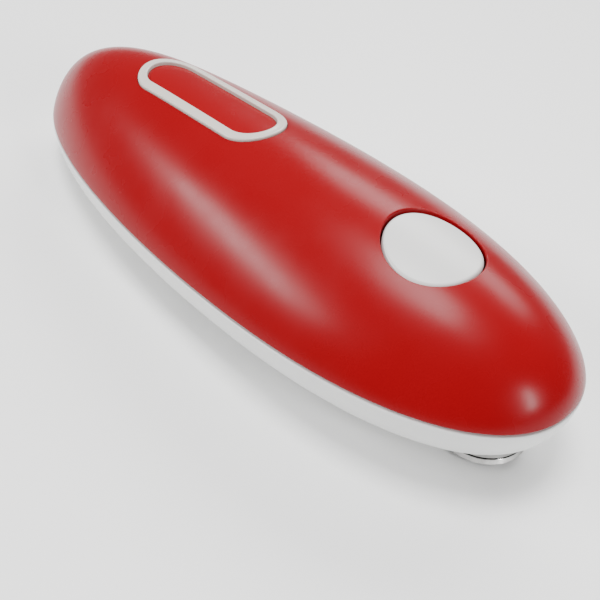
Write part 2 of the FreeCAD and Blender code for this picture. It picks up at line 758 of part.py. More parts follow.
door_edge = cross_bar("door_edge", "hinge_radius", "door_half - door_gap", hinge_x,
                      door_low + val("hinge_radius"))
door_pins = cross_bar("door_pins", "hinge_pin", "18.0", hinge_x, door_low + val("hinge_radius"))
door_ribs = [block("door_rib%d" % i, (x - 0.6, x + 0.6), (-12.0, 12.0), (door_high - 0.2, 10.3))
             for i, x in enumerate((-56.0, -36.0, -16.0))]
grip_cuts = [block("door_grip%d" % i, (-63.0 + 1.8 * i, -62.1 + 1.8 * i), (-6.0, 6.0),
                   (door_low - 0.5, door_low + 0.5)) for i in range(4)]
door = cut("door_gripped", fuse("door_fused", [door_panel, door_edge, door_pins] + door_ribs),
           grip_cuts)
keep(door, "battery_door")


def battery_tray():
    tail, nose, half = val("bay_tail"), val("bay_nose"), val("bay_half")
    skin = val("tray_wall")
    tray = box((tail - skin, nose + skin), (-half - skin, half + skin), (floor_top, 40.6))
    tray = tray.cut(box((tail, nose), (-half, half), (0, 60)))
    windows = [box((tail + 9, nose - 9), sorted((side * (half - 1), side * (half + 3))), (26, 60))
               for side in (-1, 1)]
    divider = box((tail - 0.1, nose + 0.1), (-0.3, 0.3), (24.2, 25.4))
    inner = dome(wall + 0.2).fuse(bowl(wall + 0.01, parting).fuse(
        prism(wall + 0.01, parting - 0.5, parting + 0.5)))
    return tray.cut(Part.makeCompound(windows)).common(inner).fuse(divider)


feature("battery_tray", battery_tray())

cells_made = []
springs_made = []
contact_x = (val("bay_tail") + 0.4, val("bay_nose") - 0.4)
nub = 1.2
for row in range(2):
    for side in (-1, 1):
        nub_forward = (row + (side > 0)) % 2 == 0
        z = val("cell_low") + val("cell_radius") * (1 + 2 * row) + 0.1 * row
        y = side * (val("cell_radius") + 0.1)
        facing = 1 if nub_forward else -1
        tip = contact_x[1] - 0.05 if nub_forward else contact_x[0] + 0.05
        ahead = Vector(facing, 0, 0)
        back = Vector(tip, y, z) - ahead * val("cell_length")
        body = Part.makeCylinder(val("cell_radius"), val("cell_length") - nub, back, ahead)
        body = body.makeFillet(0.6, [edge for edge in body.Edges if len(edge.Vertexes) == 1])
        cap = Part.makeCylinder(2.7, nub + 0.3, back + ahead * (val("cell_length") - nub - 0.3), ahead)
        cells_made.append(body.fuse(cap))
        seat = contact_x[0] if nub_forward else contact_x[1]
        springs_made.append(leaf_spring(Vector(seat, y, z), back.x - facing * 0.05))
feature("battery_cells", Part.makeCompound(cells_made))
feature("battery_springs", Part.makeCompound(springs_made))

strips = []
for end, x in enumerate(contact_x):
    span = sorted((x, x - 0.4 if end == 0 else x + 0.4))
    for row in range(2):
        z = val("cell_low") + val("cell_radius") * (1 + 2 * row)
        if (end, row) == (1, 0):
            strips += [box(span, sorted((side * 1.2, side * 11.0)), (z - 5, z + 5)) for side in (-1, 1)]
        else:
            strips.append(box(span, (-11.0, 11.0), (z - 5, z + 5)))
feature("battery_contacts", Part.makeCompound(strips))

# ---- gearbox --------------------------------------------------------------------------------

posts_at = [("post_tail_x", "post_tail_y"), ("post_tail_x", "-post_tail_y"),
            ("post_nose_x", "post_nose_y"), ("post_nose_x", "-post_nose_y")]


def plate_outline(tail):
    return [(tail, "-plate_half_width"), ("plate_shoulder_x", "-plate_half_width"),
            ("plate_nose_x", "-plate_nose_half"), ("plate_nose_x", "plate_nose_half"),
            ("plate_shoulder_x", "plate_half_width"), (tail, "plate_half_width")]


keep(plate("lower_plate", plate_outline("plate_tail_x"), "plate_low", "plate_top",
           [("bush_radius", "drive_x", "0"), ("carrier_bush_radius", "swing_x", "0"),
            ("pin_radius", "first_x", "first_y"), ("pin_radius", "second_x", "second_y")]
           + [("0.8", x, y) for x, y in posts_at],
           [("post_radius", x, y, "cover_low") for x, y in posts_at]), "lower_gear_plate")

cover_outline = ([("18.2", "-plate_half_width")] + plate_outline("18.2")[1:5]
                 + [("18.2", "plate_half_width"), ("18.2", "10.8"), ("24.6", "10.8"),
                    ("24.6", "-10.8"), ("18.2", "-10.8")])
keep(plate("upper_plate", cover_outline, "cover_low", "cover_top",
           [("spindle_seat + running", "drive_x", "0"), ("spindle_seat + running", "swing_x", "0"),
            ("pin_radius", "first_x", "first_y"), ("pin_radius", "second_x", "second_y")]
           + [("1.0", x, y) for x, y in posts_at],
           [("1.8", "button_x + 12", "8", "board_low"), ("1.8", "button_x - 12", "-8", "board_low")]),
     "upper_gear_plate")

pins = [turned("gear_pin%d" % i, x, y, [("pin_radius", "plate_low", "cover_top")])
        for i, (x, y) in enumerate((("first_x", "first_y"), ("second_x", "second_y")))]
keep(group("gear_pin_set", pins), "gear_pins")

gearbox_screws = []
for i, (x, y) in enumerate(posts_at):
    name = "gearbox_screw%d" % i
    shape = turned(name, x, y, [("1.9", "cover_top", "cover_top + 1.3"),
                                ("0.8", "cover_top - 8", "cover_top")])
    gearbox_screws.append(cut(name + "_slotted", shape,
                              cross_slot(name + "_slot", x, y, "cover_top + 0.6",
                                         "cover_top + 2", "1.2", "0.25")))
keep(group("gearbox_screw_set", gearbox_screws), "gearbox_screws")

feature("cluster_gear_1", cluster_gear_1())
feature("cluster_gear_2", cluster_gear_2())
feature("drive_gear", drive_gear())
feature("swing_gear", swing_gear())

# ---- drive spindle --------------------------------------------------------------------------

keep(group("spindle_group", [turned(
    "spindle", "drive_x", "0",
    [("spindle_seat", "wheel_low + wheel_recess", "cover_top + 1.2"), ("collar_radius", "wheel_top", "collar_top"),
     ("spindle_radius", "wheel_top", "cover_low - 0.1")],
    [("1.2", "wheel_low - 1", "wheel_low + 4")])]), "drive_spindle")
keep(turned("spindle_bush", "drive_x", "0",
            [("bush_radius", "bush_low", "plate_top"), ("bush_radius + 1", "plate_top", "plate_top + 0.4")],
            [("spindle_radius + running", "bush_low - 1", "plate_top + 2")]), "spindle_bush")
keep(turned("spindle_clip", "drive_x", "0", [("3.4", "cover_top + 0.3", "cover_top + 0.9")],
            [("spindle_seat", "cover_top", "cover_top + 2")]), "spindle_clip")
feature("drive_wheel", drive_wheel())
wheel_screw = turned("wheel_screw", "drive_x", "0",
                     [("wheel_screw_head", "wheel_low - 0.25", "wheel_low + wheel_recess"),
                      ("1.2", "wheel_low + wheel_recess", "wheel_low + 3.8")])
keep(cut("wheel_screw_slotted", wheel_screw,
         cross_slot("wheel_screw_slot", "drive_x", "0", "0", "wheel_low + 0.5", "2.2", "0.4")),
     "drive_wheel_screw")

# ---- cutter carrier and cutter --------------------------------------------------------------

hub_x = "swing_x + eccentric"
carrier_solids = [
    cylinder("carrier_hub", "hub_radius", hub_x, "0", "hub_low + 0.5", "hub_top"),
    cone("carrier_hub_edge", "hub_radius - 0.5", "hub_radius", hub_x, "0", "hub_low", "hub_low + 0.5"),
    cylinder("carrier_shaft", "shaft_radius", "swing_x", "0", "hub_top - 0.5", "cover_low - 0.05"),
    cylinder("carrier_journal", "spindle_seat", "swing_x", "0", "cover_low - 0.5", "cover_top + 1.2"),
]
keep(cut("carrier_drilled", fuse("carrier_fused", carrier_solids),
         [cylinder("carrier_thread", "1.6", hub_x, "0", "hub_low - 1", "hub_low + 3.6")]),
     "cutter_carrier")
keep(turned("carrier_bush", "swing_x", "0",
            [("carrier_bush_radius", floor_low, "plate_top"),
             ("carrier_bush_radius + 0.8", "plate_top", "plate_top + 0.4")],
            [("shaft_radius + running", floor_low - 1, "plate_top + 2")]), "carrier_bush")
keep(turned("carrier_clip", "swing_x", "0", [("3.4", "cover_top + 0.3", "cover_top + 0.9")],
            [("spindle_seat", "cover_top", "cover_top + 2")]), "carrier_clip")
keep(turned("wave_washer", "swing_x", "0", [("5.0", "top_layer_top + 0.15", "cover_low - 0.15")],
            [("shaft_radius", "top_layer_top - 1", "cover_low + 1")]), "wave_washer")

cutter_blank = [
    cone("cutter_bevel", "cutter_radius - 1.5", "cutter_radius", hub_x, "0", "0", "1.4"),
    cone("cutter_back", "cutter_radius", "cutter_radius - 0.5", hub_x, "0", "1.4", "cutter_top"),
]
keep(cut("cutter_bored", fuse("cutter_fused", cutter_blank),
         [cylinder("cutter_bore", "shoulder_radius + running", hub_x, "0", "-1", "4"),
          cylinder("cutter_counterbore", "cutter_screw_head + 0.25", hub_x, "0", "-1", "1.5"),
          cylinder("cutter_dish", "7.6", hub_x, "0", "-1", "0.5")]), "cutter_wheel")
cutter_screw = turned("cutter_screw", hub_x, "0",
                      [("cutter_screw_head", "0.3", "1.4"), ("shoulder_radius", "1.4", "hub_low"),
                       ("1.6", "hub_low", "hub_low + 3.4")])
keep(cut("cutter_screw_slotted", cutter_screw,
         cross_slot("cutter_screw_slot", hub_x, "0", "0", "0.9", "2.4", "0.45")), "cutter_screw")

# ---- underside: wear plate and lid magnet ---------------------------------------------------

head_corners = [("head_plate_tail", "-(head_plate_half - 3)"), ("head_plate_tail + 3", "-head_plate_half"),
                ("head_plate_nose - 5", "-head_plate_half"), ("head_plate_nose", "-(head_plate_half - 5)"),
                ("head_plate_nose", "head_plate_half - 5"), ("head_plate_nose - 5", "head_plate_half"),
                ("head_plate_tail + 3", "head_plate_half"), ("head_plate_tail", "head_plate_half - 3")]
plate_screws_at = [("head_plate_tail + 4", "7"), ("head_plate_tail + 4", "-7")]
keep(plate("wear_plate", head_corners, "head_plate_low", str(floor_low),
           [("bush_radius + 0.05", "drive_x", "0")] + [("1.0", x, y) for x, y in plate_screws_at]),
     "head_plate")
small_screws = []
for i, (x, y) in enumerate(plate_screws_at):
    name = "plate_screw%d" % i
    shape = turned(name, x, y, [("2.0", "head_plate_low - 0.9", "head_plate_low"),
                                ("1.0", "head_plate_low", str(floor_low))])
    small_screws.append(cut(name + "_slotted", shape,
                            cross_slot(name + "_slot", x, y, "head_plate_low - 2",
                                       "head_plate_low - 0.4", "1.3", "0.25")))
keep(group("plate_screw_set", small_screws), "head_plate_screws")
keep(turned("holder", "magnet_x", "0", [("holder_radius", "holder_low", floor_low)],
            [("magnet_radius + 0.1", "holder_low - 1", "magnet_top")]), "magnet_holder")
keep(group("magnet_group", [turned("magnet", "magnet_x", "0",
                                   [("magnet_radius", "magnet_low", "magnet_top")])]), "lid_magnet")

# ---- motor ----------------------------------------------------------------------------------


def flattened(radius, half_flat, low, high):
    """A round bar with two flats, on the motor axis."""
    bar = rod(radius, *motor_at, low, high)
    x = motor_at[0]
    return bar.common(box((x - half_flat, x + half_flat), (-radius, radius), (low, high)))


def motor_can():
    skin = val("can_wall")
    low, high = val("motor_low"), val("can_top")
    can = flattened(val("motor_radius"), val("motor_half_flat"), low, high)
    can = can.cut(flattened(val("motor_radius") - skin, val("motor_half_flat") - skin, low + skin, high))
    can = can.fuse(rod(3.0, *motor_at, low - 1.2, low + skin))
    return can.cut(rod(val("motor_shaft") + val("running"), *motor_at, 0, 30))


def motor_end_cap():
    cap = flattened(val("motor_radius"), val("motor_half_flat"), val("can_top"), val("cap_top"))
    cap = cap.cut(rod(val("motor_shaft") + val("running"), *motor_at, 30, val("cap_top") - 0.6))
    slots = [box((motor_at[0] - 1.4, motor_at[0] + 1.4), sorted((side * 6.0, side * 6.5)), (30, 50))
             for side in (-1, 1)]
    return cap.cut(Part.makeCompound(slots))


def motor_magnets():
    low, high = val("motor_low") + 3, val("can_top") - 3
    ring = rod(val("motor_radius") - val("can_wall"), *motor_at, low, high)
    ring = ring.cut(rod(val("rotor_radius") + 0.4, *motor_at, 0, 60))
    x = motor_at[0]
    arcs = [ring.common(box((x - 6.0, x + 6.0), sorted((side * 3.5, side * 12)), (low, high)))
            for side in (-1, 1)]
    return Part.makeCompound(arcs)


def motor_rotor():
    low = val("motor_low")
    shaft = rod(val("motor_shaft"), *motor_at, val("plate_top") + 0.2, val("cap_top") - 1.0)
    stack = rod(val("rotor_radius"), *motor_at, low + 4, val("can_top") - 5)
    slots = [Part.makeBox(4, 1.2, 40, Vector(3.2, -0.6, 0)) for _ in range(3)]
    for i, slot in enumerate(slots):
        slot.Placement = Placement(Vector(*motor_at, 0), Rotation(Vector(0, 0, 1), 120 * i + 60))
    commutator = rod(2.6, *motor_at, val("can_top") - 4.5, val("can_top") - 0.5)
    return stack.cut(Part.makeCompound(slots)).multiFuse([shaft, commutator])


feature("motor_can", motor_can())
feature("motor_end_cap", motor_end_cap())
feature("motor_magnets", motor_magnets())
feature("motor_rotor", motor_rotor())
feature("motor_pinion", motor_pinion())
tabs = [block("motor_tab%d" % i, ("motor_x - 1.4", "motor_x + 1.4"),
              (side * 6.25 - 0.25, side * 6.25 + 0.25), ("can_top - 2", "cap_top + 1.0"))
        for i, side in enumerate((-1, 1))]
keep(group("motor_tabs", tabs), "motor_terminals")

bracket_plate = block("bracket_plate", ("motor_x - 8.6", "motor_x + 8.2"), (-12.6, 12.6),
                      ("bracket_low", "motor_low"))
bracket_feet = [block("bracket_foot%d" % i, ("motor_x - 8.6", "motor_x + 0.4"),
                      (side * 11.6 - 1.0, side * 11.6 + 1.0), ("plate_top", "bracket_low + 0.5"))
                for i, side in enumerate((-1, 1))]
bracket = cut("bracket_bored", fuse("bracket_fused", [bracket_plate] + bracket_feet),
              [cylinder("bracket_hole", "3.1", "motor_x", "0", "bracket_low - 1", "motor_low + 1")])
keep(bracket, "motor_bracket")

# ---- circuit board, switch and button parts -------------------------------------------------

board = block("board_blank", ("button_x - board_length / 2", "button_x + board_length / 2"),
              ("-board_width / 2", "board_width / 2"), ("board_low", "board_low + board_thick"))
board_holes_at = [("button_x + 12", "8"), ("button_x - 12", "-8")]
board_holes = [cylinder("board_hole%d" % i, "1.1", x, y, "board_low - 1", "board_low + 3")
               for i, (x, y) in enumerate(board_holes_at)]
keep(cut("board_drilled", board, board_holes), "circuit_board")
board_top = "board_low + board_thick"
board_screws = [turned("board_screw%d" % i, x, y, [("2.0", board_top, board_top + " + 1.2")])
                for i, (x, y) in enumerate(board_holes_at)]
keep(group("board_screw_set", board_screws), "board_screws")
parts_on_board = [
    cylinder("board_capacitor", "2.5", "button_x - 11", "5", board_top, board_top + " + 7"),
    block("board_diode", ("button_x + 8", "button_x + 12"), (-6.0, -3.5), (board_top, board_top + " + 1.8")),
    block("board_chip", ("button_x - 3", "button_x + 3"), (7.0, 10.0), (board_top, board_top + " + 1.4")),
]
keep(group("board_part_set", parts_on_board), "board_components")

switch = block("switch_blank", ("button_x - switch_side / 2", "button_x + switch_side / 2"),
               ("-switch_side / 2", "switch_side / 2"), ("switch_low", "switch_top"))
keep(cut("switch_bored", switch,
         [cylinder("switch_bore", "plunger_radius + running", "button_x", "0",
                   "plunger_low - 2", "switch_top + 1")]), "switch_body")
keep(group("plunger_group", [turned("plunger", "button_x", "0",
                                    [("plunger_radius", "plunger_low", "plunger_top")])]),
     "switch_plunger")
spring_low = val("switch_top") + 0.45
spring_high = parting + back_rise(val("button_x")) - val("button_sunk") - val("button_thick") - 1.0
feature("button_spring", coil(val("button_spring_radius"), val("button_spring_wire"),
                              val("button_spring_turns"), spring_high - spring_low,
                              Vector(val("button_x"), 0, spring_low), Vector(0, 0, 1)))

motor_top = val("cap_top") + 1.2
feature("motor_leads", Part.makeCompound([
    lead([(motor_at[0] + 1.5, side * 6.2, motor_top), (motor_at[0] + 11, side * 6.4, motor_top),
          (motor_at[0] + 17, side * 7.4, 36.0), (val("button_x") - 13.5, side * 8.6 + 1.5, 30.8)], 0.6)
    for side in (-1, 1)]))
feature("battery_leads", Part.makeCompound([
    lead([(val("bay_nose") + 1.4, side * 9.0, 20.0), (-3.0, side * 13.0, 25.0),
          (8.0, side * 14.6, 29.5), (24.0, side * 14.2, 31.5), (val("button_x") - 13.5, side * 9.2 - 1.5, 29.6)],
         0.6)
    for side in (-1, 1)]))

# ---- rest placement, checks and export ------------------------------------------------------

doc.recompute()
rest = Placement(Vector(val("rest_shift"), 0, -val("rest_drop")),
                 Rotation(Vector(0, 1, 0), -val("rest_tilt")))
for obj in nodes:
    obj.Placement = rest.multiply(obj.Placement)
doc.recompute()

for obj in doc.Objects:
    if "Invalid" in obj.State or "Error" in obj.State:
        raise RuntimeError("%s failed: %s" % (obj.Label, obj.State))
for obj in nodes:
    if obj.Shape.isNull() or not obj.Shape.isValid() or not obj.Shape.Solids:
        raise RuntimeError("%s has no valid solid" % obj.Label)

os.makedirs("parts", exist_ok=True)
for obj in nodes:
    obj.Shape.exportStep("parts/%s.step" % obj.Label)
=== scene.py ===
import json
import math

import bpy
from mathutils import Matrix, Vector
from mathutils.geometry import delaunay_2d_cdt


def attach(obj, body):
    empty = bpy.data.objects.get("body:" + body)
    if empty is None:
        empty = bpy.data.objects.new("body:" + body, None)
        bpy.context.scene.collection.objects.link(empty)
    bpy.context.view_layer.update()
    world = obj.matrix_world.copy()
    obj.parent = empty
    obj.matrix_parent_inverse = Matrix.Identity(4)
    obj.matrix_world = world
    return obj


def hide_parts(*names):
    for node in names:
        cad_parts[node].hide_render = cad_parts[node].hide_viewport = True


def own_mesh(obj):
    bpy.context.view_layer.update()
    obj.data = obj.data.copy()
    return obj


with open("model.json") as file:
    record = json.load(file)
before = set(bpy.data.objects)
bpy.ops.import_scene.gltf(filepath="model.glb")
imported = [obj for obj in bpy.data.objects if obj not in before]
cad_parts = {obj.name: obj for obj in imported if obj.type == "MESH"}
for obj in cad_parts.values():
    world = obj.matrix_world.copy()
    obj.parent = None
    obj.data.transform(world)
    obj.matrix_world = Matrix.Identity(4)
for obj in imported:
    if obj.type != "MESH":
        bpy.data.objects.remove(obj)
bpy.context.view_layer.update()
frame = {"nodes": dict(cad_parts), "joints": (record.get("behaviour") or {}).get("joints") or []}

# Sizes are in millimetres in the casing's own level frame, as in the CAD source: +X to the
# head, z = 0 at the cutter's underside.  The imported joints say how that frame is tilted.
HALF_LENGTH = 95.0
HALF_WIDTH = 36.0
WIDEST_SHARE = 0.15
CREST_SHARE = -0.3
BACK_HEIGHT = 25.5
PARTING_Z = 21.5
GROOVE = 0.4
BELLY_DEPTH = 13.4
BELLY_INSET = 10.3
WALL = 2.2
LIP_OUTER = 1.25
LIP_RISE = 1.2
RING_X = -26.9
RING_HALF_LENGTH = 26.4
RING_HALF_WIDTH = 9.6
RING_BAND = 2.75
RING_PROUD = 0.6
RING_SEAT = 1.2
INLAY_SUNK = 0.45
BUTTON_X = 52.6
BUTTON_RADIUS = 11.9
BUTTON_HOLE = 12.3
BUTTON_SUNK = 0.6
BUTTON_THICK = 2.2
STEM_FOOT = 37.3
STEM_RADIUS = 2.0
SKIRT_DROP = 1.0
DRIVE_X = 54.0
SWING_X = 74.0
HUB_THROW = 2.25
MAGNET_X = 30.0
MM = 0.001

joints = {joint["name"]: joint for joint in frame["joints"]}
lift = Vector(joints["drive_spin"]["axis"]).normalized()
left = Vector((0.0, 1.0, 0.0))
ahead = left.cross(lift)
home = Vector(joints["drive_spin"]["pos_m"]) - ahead * (DRIVE_X * MM)


def place(point):
    """A casing point in millimetres, taken to the row frame in metres."""
    return home + (ahead * point[0] + left * point[1] + lift * point[2]) * MM


def turn(direction):
    return ahead * direction[0] + left * direction[1] + lift * direction[2]


# ---- meshes with exact normals --------------------------------------------------------------


class Skin:
    """Collects points with their normals and faces, then becomes one smooth mesh object."""

    def __init__(self):
        self.points = []
        self.normals = []
        self.faces = []

    def point(self, place_mm, normal):
        self.points.append(Vector(place_mm))
        self.normals.append(Vector(normal).normalized())
        return len(self.points) - 1

    def loop(self, items):
        return [self.point(*item) for item in items]

    def strip(self, near, far):
        """Quads between two closed loops of equal length, unless they lie on each other."""
        if (self.points[near[0]] - self.points[far[0]]).length < 1e-6:
            return
        count = len(near)
        for i in range(count):
            after = (i + 1) % count
            self.faces.append((near[i], near[after], far[after], far[i]))

    def fan(self, loop, centre):
        count = len(loop)
        for i in range(count):
            self.faces.append((loop[i], loop[(i + 1) % count], centre))

    def facing(self, face):
        """The face, wound so that it looks the way its points' normals do."""
        corners = [self.points[i] for i in face]
        middle = sum(corners, Vector()) / len(corners)
        around = zip(corners, corners[1:] + corners[:1])
        area = sum(((a - middle).cross(b - middle) for a, b in around), Vector())
        wanted = sum((self.normals[i] for i in face), Vector())
        return face if area.dot(wanted) > 0 else tuple(reversed(face))

    def build(self, name, material, bodyname):
        mesh = bpy.data.meshes.new(name)
        faces = [self.facing(face) for face in self.faces]
        mesh.from_pydata([place(p) for p in self.points], [], faces)
        mesh.update()
        mesh.polygons.foreach_set("use_smooth", [True] * len(mesh.polygons))
        mesh.normals_split_custom_set_from_vertices([turn(n) for n in self.normals])
        mesh.validate()
        mesh.materials.append(material)
        piece = bpy.data.objects.new(name, mesh)
        bpy.context.scene.collection.objects.link(piece)
        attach(piece, bodyname)
        return piece


def fill(skin, outer, holes, spacing, lift_point):
    """Triangles between an outer loop and hole loops of the skin, seen from above.

    lift_point gives a fresh point's place and normal from its x and y."""
    loops = [outer] + holes
    flat = []
    owners = []
    edges = []
    for loop in loops:
        start = len(flat)
        for index in loop:
            flat.append(Vector(skin.points[index][:2]))
            owners.append(index)
        edges += [(start + i, start + (i + 1) % len(loop)) for i in range(len(loop))]
    polygons = [[Vector(skin.points[i][:2]) for i in loop] for loop in loops]
    low = [min(p[axis] for p in polygons[0]) for axis in (0, 1)]
    high = [max(p[axis] for p in polygons[0]) for axis in (0, 1)]
    rows = int((high[1] - low[1]) / (spacing * 0.866)) + 1
    columns = int((high[0] - low[0]) / spacing) + 2
    for row in range(rows):
        for column in range(columns):
            spot = Vector((low[0] + (column + 0.5 * (row % 2)) * spacing,
                           low[1] + (row + 0.5) * spacing * 0.866))
            if not inside(spot, polygons[0]) or any(inside(spot, p) for p in polygons[1:]):
                continue
            if min(distance(spot, p) for p in polygons) < 0.6 * spacing:
                continue
            owners.append(skin.point(*lift_point(spot.x, spot.y)))
            flat.append(spot)
    _, _, triangles, origin, _, _ = delaunay_2d_cdt(flat, edges, [], 0, 1e-7)
    back_to = [owners[item[0]] for item in origin]
    for triangle in triangles:
        corners = [back_to[i] for i in triangle]
        middle = sum((Vector(skin.points[i][:2]) for i in corners), Vector((0, 0))) / 3
        if inside(middle, polygons[0]) and not any(inside(middle, p) for p in polygons[1:]):
            skin.faces.append(tuple(corners))


def inside(spot, polygon):
    crossings = False
    x, y = spot
    for a, b in zip(polygon, polygon[1:] + polygon[:1]):
        if (a.y > y) != (b.y > y) and x < (b.x - a.x) * (y - a.y) / (b.y - a.y) + a.x:
            crossings = not crossings
    return crossings


def distance(spot, polygon):
    return min((spot - corner).length for corner in polygon)


# ---- casing surface -------------------------------------------------------------------------


def swell(share, centre, power, root):
    if share < centre:
        reach = (centre - share) / (1 + centre)
        fall = 1 - min(1.0, reach) ** power[0]
        return fall ** (1 / root[0]) if fall > 0 else 0.0
    reach = (share - centre) / (1 - centre)
    fall = 1 - min(1.0, reach) ** power[1]
    return fall ** (1 / root[1]) if fall > 0 else 0.0


def plan_width(x, inset=0.0):
    share = x / (HALF_LENGTH - inset)
    return (HALF_WIDTH - inset) * swell(share, WIDEST_SHARE, (1.9, 2.35), (2.2, 2.2))


def back(x, y, inset=0.0):
    """Height of the back, shrunk by an inset, over a plan point."""
    share = x / (HALF_LENGTH - inset)
    width = plan_width(x, inset)
    if width <= abs(y):
        return PARTING_Z
    rise = (BACK_HEIGHT - inset) * swell(share, CREST_SHARE, (3.4, 3.6), (1.8, 2.0))
    return PARTING_Z + rise * (1 - (y / width) ** 2) ** 0.76


def back_normal(x, y, inset=0.0):
    step = 0.02
    slope_x = (back(x + step, y, inset) - back(x - step, y, inset)) / (2 * step)
    slope_y = (back(x, y + step, inset) - back(x, y - step, inset)) / (2 * step)
    return Vector((-slope_x, -slope_y, 1.0)).normalized()


def on_back(x, y, inset=0.0):
    return (x, y, back(x, y, inset)), back_normal(x, y, inset)


def outline(inset, count):
    """Plan outline points and outward directions, anticlockwise from the tail."""
    points = []
    for i in range(count):
        angle = math.tau * i / count
        x = -(HALF_LENGTH - inset) * math.cos(angle)
        side = -1.0 if angle < math.pi else 1.0
        width = plan_width(x, inset) if i % (count // 2) else 0.0
        points.append(Vector((x, side * width)))
    result = []
    for i, spot in enumerate(points):
        along = points[(i + 1) % count] - points[i - 1]
        result.append((spot, Vector((along.y, -along.x)).normalized()))
    return result


AROUND = 288
HEART = Vector((2.0, 0.0))


def dome_rings(skin, inset, edge_rise, shares, facing=1):
    """Rings on the dome from near its rim inwards.  Returns the rings' indices."""
    rims = outline(inset, AROUND)
    rings = []
    ends = []
    for spot, _ in rims:
        near, far = 0.9, 1.0
        for _ in range(40):
            middle = (near + far) / 2
            probe = HEART + (spot - HEART) * middle
            if back(probe.x, probe.y, inset) > PARTING_Z + edge_rise:
                near = middle
            else:
                far = middle
        ends.append(near)
    for share in shares:
        ring = []
        for (spot, _), end in zip(rims, ends):
            probe = HEART + (spot - HEART) * end * share
            place_mm, normal = on_back(probe.x, probe.y, inset)
            ring.append(skin.point(place_mm, normal * facing))
        rings.append(ring)
    for outer, inner in zip(rings, rings[1:]):
        skin.strip(outer, inner)
    return rings


def track(half_length, half_width, step=1.1):
    """A racetrack round the ring's centre: points and outward directions, anticlockwise."""
    straight = half_length - half_width
    runs = max(4, int(2 * (RING_HALF_LENGTH - RING_HALF_WIDTH) / step))
    arcs = 40
    points = []
    for side, start in ((1, -math.pi / 2), (-1, math.pi / 2)):
        for i in range(arcs):
            angle = start + math.pi * i / arcs
            out = Vector((math.cos(angle), math.sin(angle)))
            points.append((Vector((RING_X + side * straight, 0)) + out * half_width, out))
        for i in range(runs):
            x = RING_X + side * straight * (1 - 2 * i / runs)
            points.append((Vector((x, side * half_width)), Vector((0.0, float(side)))))
    return points


def circle(x, radius, count=128, y=0.0):
    points = []
    for i in range(count):
        angle = math.tau * i / count
        out = Vector((math.cos(angle), math.sin(angle)))
        points.append((Vector((x, y)) + out * radius, out))
    return points


def rolled(skin, path, height, normal_at, radius, steps, outward):
    """Loops that roll an edge over from a surface into a vertical wall.

    path holds the wall's own plan points; outward says which way the solid's edge faces."""
    loops = []
    for i in range(steps + 1):
        angle = math.pi / 2 * i / steps
        back_off = radius * (1 - math.sin(angle))
        drop = radius * (1 - math.cos(angle))
        ring = []
        for spot, out in path:
            probe = spot - out * (back_off * outward)
            top = normal_at(spot.x - out.x * radius * outward, spot.y - out.y * radius * outward)
            side = Vector((out.x * outward, out.y * outward, 0.0))
            normal = top * math.cos(angle) + side * math.sin(angle)
            ring.append(skin.point((probe.x, probe.y, height(probe.x, probe.y) - drop), normal))
        loops.append(ring)
    for upper, lower in zip(loops, loops[1:]):
        skin.strip(upper, lower)
    return loops


def wall_loop(skin, path, height, outward):
    return skin.loop([((spot.x, spot.y, height(spot.x, spot.y)), (out.x * outward, out.y * outward, 0))
                      for spot, out in path])


# ---- materials ------------------------------------------------------------------------------


def shader(name):
    material = bpy.data.materials.new(name)
    material.use_nodes = True
    tree = material.node_tree
    return material, tree, tree.nodes["Principled BSDF"]


def node(tree, kind, **settings):
    made = tree.nodes.new(kind)
    for key, value in settings.items():
        if key in made.inputs.keys():
            made.inputs[key].default_value = value
        else:
            setattr(made, key, value)
    return made


def noise(tree, scale, detail=3.0, roughness=0.5, stretch=(1, 1, 1)):
    where = node(tree, "ShaderNodeTexCoord")
    mapping = node(tree, "ShaderNodeMapping")
    mapping.inputs["Scale"].default_value = stretch
    tree.links.new(where.outputs["Object"], mapping.inputs["Vector"])
    made = node(tree, "ShaderNodeTexNoise", Scale=scale, Detail=detail, Roughness=roughness)
    tree.links.new(mapping.outputs["Vector"], made.inputs["Vector"])
    return made.outputs["Fac"]


def spread(tree, source, low, high, start=0.3, end=0.7):
    """A source of about 0.3 to 0.7, spread to low..high."""
    made = node(tree, "ShaderNodeMapRange")
    for key, value in (("From Min", start), ("From Max", end), ("To Min", low), ("To Max", high)):
        made.inputs[key].default_value = value
    tree.links.new(source, made.inputs["Value"])
    return made.outputs["Result"]


def tint(tree, source, first, second):
    made = node(tree, "ShaderNodeMix", data_type="RGBA")
    made.inputs[6].default_value = (*first, 1)
    made.inputs[7].default_value = (*second, 1)
    tree.links.new(source, made.inputs[0])
    return made.outputs[2]


def bump(tree, source, strength, depth, under=None):
    made = node(tree, "ShaderNodeBump")
    made.inputs["Strength"].default_value = strength
    made.inputs["Distance"].default_value = depth
    tree.links.new(source, made.inputs["Height"])
    if under is not None:
        tree.links.new(under, made.inputs["Normal"])
    return made.outputs["Normal"]


def moulded(name, light, dark, rough, spark=0.012, coat=0.0, specular=0.5):
    """Moulded plastic: faint flow variation, fine spark texture and a few handling marks."""
    material, tree, bsdf = shader(name)
    flow = spread(tree, noise(tree, 28, 4), 0, 1)
    tree.links.new(tint(tree, flow, light, dark), bsdf.inputs["Base Color"])
    marks = noise(tree, 90, 3, 0.5)
    tree.links.new(spread(tree, marks, rough - 0.02, rough + 0.03), bsdf.inputs["Roughness"])
    fine = bump(tree, noise(tree, 5200, 1), spark, 0.00006)
    soft = bump(tree, noise(tree, 45, 1), 0.008, 0.0003, fine)
    tree.links.new(soft, bsdf.inputs["Normal"])
    bsdf.inputs["Specular IOR Level"].default_value = specular
    if coat:
        bsdf.inputs["Coat Weight"].default_value = coat
        bsdf.inputs["Coat Roughness"].default_value = 0.12
    return material


